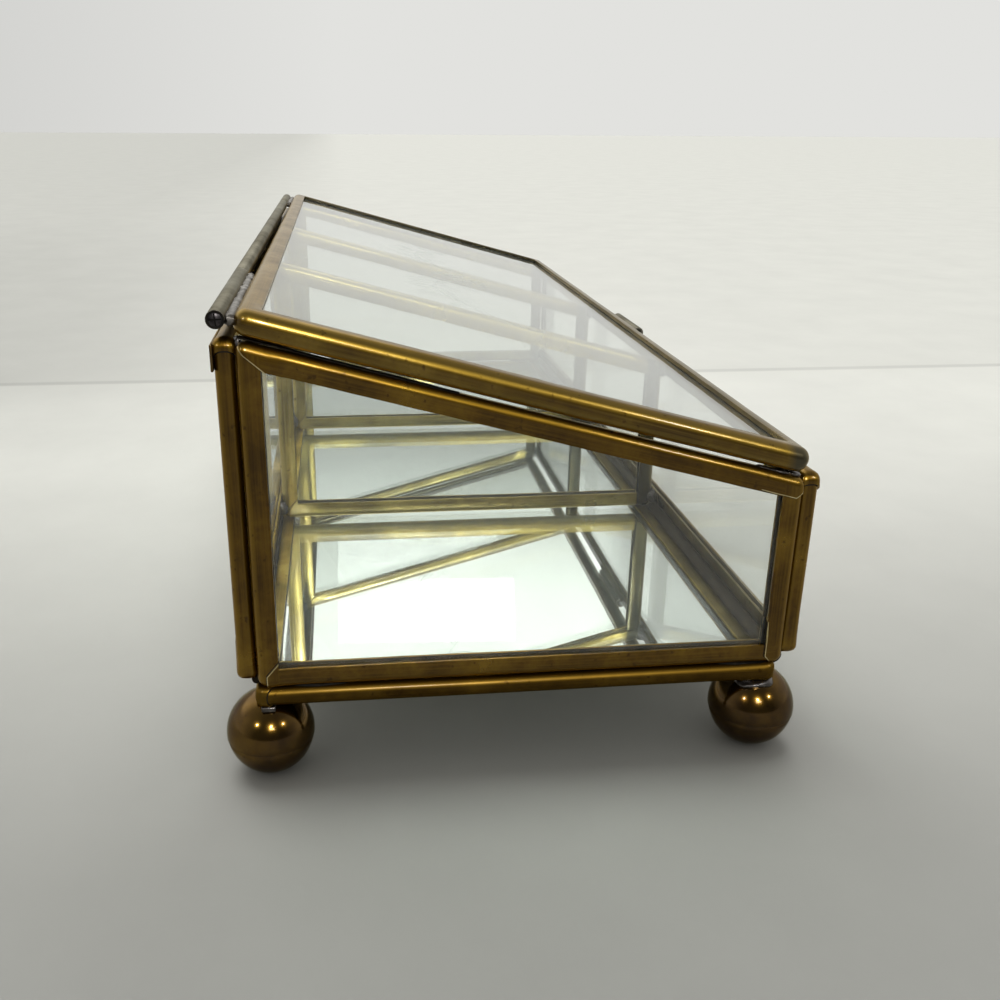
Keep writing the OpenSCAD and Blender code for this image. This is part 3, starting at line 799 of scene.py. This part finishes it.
# A flat dark line of painted shade along the top of each end, under the lid's edge
SHADE_LINE_Y, SHADE_LINE_HALF_L, SHADE_LINE_TILT = 65 * MM, 15 * MM, 0.012
for end, mid_x in (("left", THICK / 2), ("right", BOX_L - THICK / 2)):
    line = bmesh.new()
    rod(line, -SHADE_LINE_HALF_L, SHADE_LINE_HALF_L, 0, 0, 0.5 * MM, mid_x)
    bmesh.ops.scale(line, vec=(1, 1.2, 0.4), verts=line.verts[:])
    for turn, axis in ((math.pi / 2, "Z"), (SLOPE + SHADE_LINE_TILT, "X")):
        bmesh.ops.rotate(line, verts=line.verts[:], matrix=Matrix.Rotation(turn, 3, axis))
    bmesh.ops.translate(line, verts=line.verts[:],
                        vec=(mid_x, SHADE_LINE_Y, FRONT_H + SHADE_LINE_Y * math.tan(SLOPE) + 0.1 * MM))
    set_solder(line, f"{end}_end_shade_line", SHADE_SOLDER)
# Dark beads of painted shade under the front and back frames
BEAD_GAP = 0.2 * MM
BEAD_RUNS = ((THICK, LEFT_DIVIDER_X - BEAD_GAP),
             (LEFT_DIVIDER_X + THICK + BEAD_GAP, RIGHT_DIVIDER_X - BEAD_GAP),
             (RIGHT_DIVIDER_X + THICK + BEAD_GAP, BOX_L - THICK))
for side, y, z, radius in (("front", 0.15 * MM, -0.3 * MM, 1.35 * MM),
                           ("back", BOX_W + 0.35 * MM, 0.1 * MM, 0.85 * MM)):
    for k, (start, end) in enumerate(BEAD_RUNS):
        shade_bead = bmesh.new()
        rod(shade_bead, start, end, y, z, radius, k + len(side))
        set_solder(shade_bead, f"{side}_bead_{k + 1}", SHADE_SOLDER)

divider_lumps = bmesh.new()
for k, x in enumerate((LEFT_DIVIDER_X, RIGHT_DIVIDER_X)):
    for back_side, y, (j, z) in JOINTS:
        y += -0.2 * MM if back_side else 0.2 * MM
        for side in (0, 1):
            lump(divider_lumps, (x + THICK * side, y, z), (0.7, 1.3, 1.6),
                 k * 8 + back_side * 4 + j * 2 + side)
set_solder(divider_lumps, "divider_solder_lumps", SOLDER, ["divider_solder"])

foot_lumps = bmesh.new()
for k, x in enumerate((4.5 * MM, BOX_L - 4.5 * MM)):
    for j, y in enumerate((2.8 * MM, BOX_W - 2.6 * MM)):
        lump(foot_lumps, (x, y, FLOOR_Z - 0.3 * MM), (2.8, 2.2, 0.75), 3 + k * 2 + j)
# More of it ran out over the front left foot
lump(foot_lumps, (2.2 * MM, 3.2 * MM, FLOOR_Z - 0.75 * MM), (2.3, 3.0, 0.95), 21)
set_solder(foot_lumps, "foot_solder_lumps", SOLDER, ["foot_solder"])
tab = block((1.6 * MM, 2.1 * MM, 0.8 * MM))
round_edges(tab, tab.edges[:], 0.15 * MM, 3)
finish_piece(tab, "foot_solder_tab", SOLDER, "box", (),
             moved_to(0.9 * MM, 78.7 * MM, FLOOR_Z - 0.35 * MM))

# A run along each of the lid's tubes, which stops short of the tube's ends, in mm
LEFT_TUBE_L, RIGHT_TUBE_L, RUN_SHORT = 38.5, 24.0, 1.0
tube_runs = [(at + RUN_SHORT, length - 2 * RUN_SHORT)
             for at, length in ((0.0, LEFT_TUBE_L), (BOX_L / MM - RIGHT_TUBE_L, RIGHT_TUBE_L))]
hinge_lumps = bmesh.new()
across, run_w = (LID_BACK + HINGE_ALONG - HINGE_R) / 2, HINGE_ACROSS + 0.2 * MM
for start, length in tube_runs:
    rod(hinge_lumps, start * MM, (start + length) * MM, across, run_w, 0.72 * MM, start)
for start, length in tube_runs:
    for at in (start + 0.3, start + length - 0.3):
        lump(hinge_lumps, (at * MM, across, run_w), (1.0, 0.85, 0.8), at)
    for k in range(int(length / 5)):
        wander = noise.noise(Vector((k * 1.7, start, 0)))
        lump(hinge_lumps, ((start + 3 + 5 * k + 2 * wander) * MM, across + 0.3 * wander * MM,
                           HINGE_ACROSS + 0.45 * MM), (1.7 + wander, 0.8, 0.4 + 0.3 * wander), k)
finish_piece(hinge_lumps, "hinge_solder_lumps", PALE_SOLDER, "lid", ["hinge_solder"],
             LAY_LID, sharp=80)
print("solder done")


# %% [markdown]
# ## The hinge
# Sheet brass is rolled round the pin. Its section is a short edge, spun most of the way
# round, so the seam stays open as it does on the real tube, and then drawn out along
# the hinge. On the middle length the sheet carries on downwards as the leaf. A strip of
# darker brass lies along the back frame under it. Each end of the pin is a small cap with
# two dark cracks that cross.


# %% Build the hinge
def rolled_tube(length, start_angle, sweep, bore, leaf_drop=0.0):
    bm = bmesh.new()
    reach = (0, math.cos(start_angle), math.sin(start_angle))
    ends = [bm.verts.new(Vector(reach) * r) for r in (bore, HINGE_R)]
    edge = bm.edges.new(ends)
    if leaf_drop:
        down = bmesh.ops.extrude_edge_only(bm, edges=[edge])
        bmesh.ops.translate(bm, vec=(0, 0, -leaf_drop), verts=verts_of(down))
    bmesh.ops.spin(bm, geom=ends + [edge], cent=(0, 0, 0), axis=(1, 0, 0), angle=sweep, steps=36)
    bmesh.ops.remove_doubles(bm, verts=bm.verts[:], dist=1e-7)
    grown = bmesh.ops.extrude_face_region(bm, geom=bm.faces[:])
    bmesh.ops.translate(bm, vec=(length, 0, 0), verts=verts_of(grown))
    bmesh.ops.recalc_face_normals(bm, faces=bm.faces[:])
    round_edges(bm, [e for e in bm.edges if e.calc_face_angle(0) > 1.2], 0.06 * MM, 2)
    return bm


def at_hinge(x):
    return moved_to(x, HINGE_Y, HINGE_Z)


for name, x, length in (("left", 0, LEFT_TUBE_L * MM),
                        ("right", BOX_L - RIGHT_TUBE_L * MM, RIGHT_TUBE_L * MM)):
    tube = rolled_tube(length, math.radians(-150), math.radians(335), 0.76 * MM)
    finish_piece(tube, f"rolled_tube_{name}", HINGE_BRASS_AND_REFLECTION, "lid",
                 [f"hinge_tube_{name}"], at_hinge(x), sharp=45)
middle_x, middle_end = (LEFT_TUBE_L + 0.3) * MM, BOX_L - (RIGHT_TUBE_L + 0.3) * MM
LEAF_BELOW = 4.5 * MM
leaf = rolled_tube(middle_end - middle_x, 0, math.radians(325), 0.85 * MM,
                   HINGE_Z - BACK_H + LEAF_BELOW)
finish_piece(leaf, "rolled_leaf", HINGE_BRASS_AND_REFLECTION, "box", ["hinge_leaf"],
             at_hinge(middle_x), sharp=45)
STRIP_THICK, STRIP_H, STRIP_DOWN = 0.36 * MM, 3.6 * MM, 0.9 * MM
plate = block((BOX_L - 2.8 * MM, STRIP_THICK, STRIP_H))
round_edges(plate, plate.edges[:], 0.1 * MM, 2)
finish_piece(plate, "leaf_strip", LEAF_BRASS, "box", (),
             moved_to(BOX_L / 2, BOX_W + THICK + STRIP_THICK / 2,
                      BACK_H - STRIP_DOWN - STRIP_H / 2))

CAP_R, CAP_THICK, CRACK_R, RIM_R = 1.2 * MM, 0.3 * MM, 0.8 * MM, 0.92 * MM
CRACK_TILTS, CRACK_HALF = (-0.08, 1.5), 0.1 * MM
for side, x in (("left", -0.1 * MM), ("right", BOX_L - 0.2 * MM)):
    head = bmesh.new()
    bmesh.ops.create_cone(head, cap_ends=True, segments=48, radius1=CAP_R, radius2=CAP_R,
                          depth=CAP_THICK)
    caps = [f for f in head.faces if abs(f.normal.z) > 0.9]
    for width, depth in ((0.3 * MM, -0.06 * MM), (0.08 * MM, 0.09 * MM)):
        bmesh.ops.inset_individual(head, faces=caps, thickness=width, depth=depth)
    across_crack = [Vector((-math.sin(tilt), math.cos(tilt))) for tilt in CRACK_TILTS]
    for normal in across_crack:
        for off in (-CRACK_HALF, CRACK_HALF):
            bmesh.ops.bisect_plane(head, geom=with_edges(head.faces[:]), dist=1e-7,
                                   plane_co=(normal * off).to_3d(), plane_no=normal.to_3d())
    cracks = [f for f in head.faces if abs(f.normal.z) > 0.9
              and f.calc_center_median().xy.length < CRACK_R
              and min(abs(f.calc_center_median().xy.dot(n)) for n in across_crack) < 0.09 * MM]
    rim = [f for f in head.faces if f.calc_center_median().xy.length > RIM_R]
    # The cracks and the rim take the dark finish, painted shade in these hollows
    for f in cracks + rim:
        f.material_index = GROOVE_SLOT
    bmesh.ops.inset_region(head, faces=cracks, thickness=0.01 * MM, depth=-0.12 * MM)
    bmesh.ops.rotate(head, verts=head.verts[:], matrix=Matrix.Rotation(math.pi / 2, 3, "Y"))
    lumpy(head, head.verts[:], 0.6 * MM, 0.03 * MM, x)
    cap = finish_piece(head, f"pin_end_{side}", PIN_STEEL, "box", (),
                       at_hinge(x + CAP_THICK / 2), sharp=50)
    cap.data.materials.append(GRIME_AND_SHADE)

TAB_L = 18 * MM
tab = rolled_tube(TAB_L, math.radians(-20), math.radians(340), 0.78 * MM)
tab_place = LAY_LID @ Matrix.Translation((BOX_L / 2 - TAB_L / 2, LID_FRONT - HINGE_R,
                                          LID_THICK / 2 + 0.5 * MM))
finish_piece(tab, "thumb_tube", HINGE_BRASS_AND_REFLECTION, "lid", ["thumb_tab"], tab_place,
             sharp=45)
print("hinge axis at", [round(c, 2) for c in (HINGE_Y / MM, HINGE_Z / MM)])

# %% [markdown]
# ## The engraving
# Fine strokes are cut into the lid's glass. The sprig is a plain traditional one of its
# own layout: two curling stems with leaves and a small five-petalled flower. Each stroke
# is a thin curve whose ends taper, flattened against the glass and made a mesh.


# %% Build the engraving
def stroke(points, width):
    curve = bpy.data.curves.new("stroke", "CURVE")
    curve.dimensions, curve.bevel_depth, curve.bevel_resolution = "3D", width * MM / 2, 1
    curve.resolution_u = 6
    line = curve.splines.new("NURBS")
    line.points.add(len(points) - 1)
    line.use_endpoint_u, line.order_u = True, min(4, len(points))
    for k, (point, (u, v)) in enumerate(zip(line.points, points)):
        point.co = (u * MM, v * MM, 0, 1)
        point.radius = 0.25 + 0.75 * math.sin(math.pi * k / (len(points) - 1))
    holder = bpy.data.objects.new("stroke", curve)
    mesh = bpy.data.meshes.new_from_object(holder)
    bpy.data.objects.remove(holder)
    return mesh


def leaf_strokes(u, v, turn, length):
    """Two bowed lines and a vein, from the leaf's foot."""
    ca, sa = length * math.cos(turn), length * math.sin(turn)
    for bow in (0.28, 0.0, -0.28):
        yield [(u + ca * t - sa * bow * math.sin(math.pi * t),
                v + sa * t + ca * bow * math.sin(math.pi * t))
               for t in (0, 0.25, 0.5, 0.75, 1.0 if bow else 0.8)]


SPRIG_U, SPRIG_V = 103, 40


def stem_at(way, t):
    """A point on one stem, t of the way along it, in mm on the lid."""
    return (SPRIG_U + way * (4 + 44 * t), SPRIG_V + 13 * math.sin(2.6 * t) - 9 * t * t)


sprig = []
for way in (1, -1):
    sprig.append(([stem_at(way, t) for t in (0, 0.2, 0.4, 0.6, 0.8, 1.0)], 0.30))
    curl_u, curl_v = stem_at(way, 1.0)
    curl = [(a, 5 * (1 - a / 7)) for a in (0, 0.8, 1.6, 2.4, 3.2, 4.0, 4.8)]
    sprig.append(([(curl_u + way * r * math.sin(a), curl_v - 5 + r * math.cos(a))
                   for a, r in curl], 0.22))
    for k, t in enumerate((0.15, 0.32, 0.5, 0.68, 0.85)):
        for lift in (1, -1):
            turn = math.atan2(0.9 * lift, way * 0.8)
            sprig += [(line, 0.2) for line in leaf_strokes(*stem_at(way, t), turn, 10 - k)]
for petal in range(5):
    turn = petal * math.tau / 5 + 0.3
    u, v = SPRIG_U + 1.5 * math.cos(turn), SPRIG_V + 1.5 * math.sin(turn)
    sprig += [(line, 0.24) for line in leaf_strokes(u, v, turn, 6)]
cut_lines = bmesh.new()
for points, width in sprig:
    mesh = stroke(points, width)
    cut_lines.from_mesh(mesh)
    bpy.data.meshes.remove(mesh)
bmesh.ops.scale(cut_lines, vec=(1, 1, 0.35), verts=cut_lines.verts[:])
glass_top = LID_SHEET + 2.1 * MM
finish_piece(cut_lines, "lid_engraving", ENGRAVED, "lid", (),
             LAY_LID @ Matrix.Translation((0, 0, glass_top)), sharp=80)
print("engraving", len(sprig), "strokes")

# %% [markdown]
# ## Floor, light and camera
# A plain pale floor takes the shadow, in the light of a soft sky and a broad sun. Shade
# is also painted into its tone: grey on the camera's side rising to nearly white, darker
# towards the left and past the table's end, and a thin dark line behind the box where
# the table ended.
#
# What polish and glass show of the room is dark behind the camera, half bright overhead
# and brightest high behind the box. Three small lamps and a low broad one show only in
# polish, as points of light on the brass. The camera looks down on the left end from
# close by, and a small shift puts the box where the photograph has it.

# %% The stage
TABLE_FROM, TABLE_TO, TABLE_END = -0.16, 0.16, 0.15
TABLE_TONES_AND_SHADE = [(0.0, 0.35), (0.11, 0.40), (0.22, 0.49), (0.375, 0.62), (0.5, 0.73),
               (0.64, 0.81), (0.81, 0.85), (1.0, 0.86)]
floor_mesh = bmesh.new()
bmesh.ops.create_grid(floor_mesh, x_segments=1, y_segments=1, size=6)
mesh = bpy.data.meshes.new("floor_sheet")
floor_mesh.to_mesh(mesh)
floor_mesh.free()
stage = bpy.data.objects.new("floor_sheet", mesh)
bpy.context.scene.collection.objects.link(stage)
PAPER, tree, shader = new_finish("pale_paper")
fibre = patterned(tree, "Object", (30, 30, 30), 6, 0.6)
x, y, _ = axes_of(tree, "Object")
# The table's tone, whose grey on the camera's side is painted shade
sheet = ramp(tree, spread(tree, x, TABLE_FROM, TABLE_TO, 0.0, 1.0),
             [(t, (c, c, c * 0.93, 1)) for t, c in TABLE_TONES_AND_SHADE])
beyond = spread(tree, x, TABLE_END - 1.5 * MM, TABLE_END + 1.5 * MM, 0.0, 1.0)
# Painted shade past the table's end: a little everywhere, more to the left and close to the end
painted_wall_shade = times(tree, spread(tree, y, 0.0, 0.15, 0.0, 1.0),
               spread(tree, x, TABLE_END, 0.8, 0.20, 0.06))
# A painted shadow on the table just before its end, stronger on the left
wall_shadow_band = sums(tree, "SUBTRACT", spread(tree, x, 0.06, 0.149, 0.0, 1.0), beyond)
# A thin dark line of painted shade where the table ended
line = times(tree, spread(tree, x, TABLE_END - 1.5 * MM, TABLE_END, 0.0, 1.0),
             spread(tree, x, TABLE_END + 3 * MM, TABLE_END + 5 * MM, 0.15, 0.0))
shades = (
    spread(tree, fibre, 0.3, 0.7, 0.06, 0.0),
    times(tree, beyond, sums(tree, "ADD", painted_wall_shade, 0.07)),
    times(tree, wall_shadow_band, spread(tree, y, 0.02, 0.14, 0.02, 0.18)),
    line,
    # Painted shade towards the left of the table
    spread(tree, y, 0.02, 0.25, 0.0, 0.16),
)
for share in shades:
    sheet = blend(tree, share, sheet, (0, 0, 0, 1))
tree.links.new(sheet, shader.inputs["Base Color"])
shader.inputs["Roughness"].default_value = 0.75
mesh.materials.append(PAPER)

world = bpy.data.worlds.new("room")
bpy.context.scene.world = world
world.use_nodes = True
tree = world.node_tree
room = tree.nodes["Background"]
x, y, z = axes_of(tree, "Generated")
low_left = times(tree, spread(tree, y, 0.0, 0.35, 0.0, 0.17),
                 spread(tree, x, 0.6, 0.7, 0.0, 1.0))
overhead = times(tree, spread(tree, z, 0.5, 0.9, 1.0, 0.5), sums(tree, "SUBTRACT", 1.0, low_left))
behind_camera = spread(tree, x, -0.75, 0.1, 0.10, 0.76)
glow = times(tree, spread(tree, x, 0.1, 0.5, 0.0, 1.0), spread(tree, z, 0.30, 0.43, 0.0, 1.2))
glow = times(tree, glow, spread(tree, y, -0.268, -0.245, 0.0, 1.0))
mirrored = sums(tree, "ADD", times(tree, behind_camera, overhead), glow)
path = add(tree, "ShaderNodeLightPath").outputs
seen = path["Is Camera Ray"]
for kind in ("Is Glossy Ray", "Is Transmission Ray"):
    seen = sums(tree, "MAXIMUM", seen, path[kind])
level = add(tree, "ShaderNodeMix", data_type="FLOAT")
tree.links.new(seen, level.inputs[0])
tree.links.new(spread(tree, x, -1.0, 0.6, 0.26, 0.56), level.inputs["A"])
tree.links.new(mirrored, level.inputs["B"])
room.inputs["Color"].default_value = (1.0, 1.0, 0.97, 1)
tree.links.new(level.outputs[0], room.inputs["Strength"])

sun = bpy.data.lights.new("soft_sun", "SUN")
sun.angle, sun.energy = math.radians(50), 1.85
light = bpy.data.objects.new("soft_sun", sun)
light.rotation_euler = Vector((0.45, 0.1, 1)).to_track_quat("Z", "Y").to_euler()
light.visible_glossy = False
bpy.context.scene.collection.objects.link(light)


def lamp(name, at, size, power):
    """A lamp aimed at the middle of the box, which only shows in polish."""
    data = bpy.data.lights.new(name, "AREA")
    data.shape, data.size, data.size_y, data.energy = "RECTANGLE", size[0], size[1], power
    light = bpy.data.objects.new(name, data)
    light.location = at
    light.rotation_euler = (-Vector(at)).to_track_quat("-Z", "Y").to_euler()
    light.visible_diffuse = False
    bpy.context.scene.collection.objects.link(light)


lamp("small_lamp_left", (-0.68, 0.53, 0.57), (0.05, 0.05), 1.6)
lamp("small_lamp_middle", (-0.86, -0.03, 0.57), (0.05, 0.05), 3.6)
lamp("small_lamp_right", (-0.68, -0.53, 0.57), (0.05, 0.05), 1.4)
lamp("low_shade", (-0.86, -0.06, 0.46), (0.20, 0.07), 1.0)

view = bpy.data.cameras.new("camera")
view.sensor_width, view.lens, view.shift_x, view.shift_y = 36, 36.44, 0.045, -0.003
eye = bpy.data.objects.new("camera", view)
eye.location = (-0.23431, 0.02542, 0.09484)
eye.rotation_euler = Euler([math.radians(a) for a in (69.4412, -0.3877, -96.311)])
bpy.context.scene.collection.objects.link(eye)
bpy.context.scene.camera = eye
bpy.context.scene.view_settings.view_transform = "Standard"
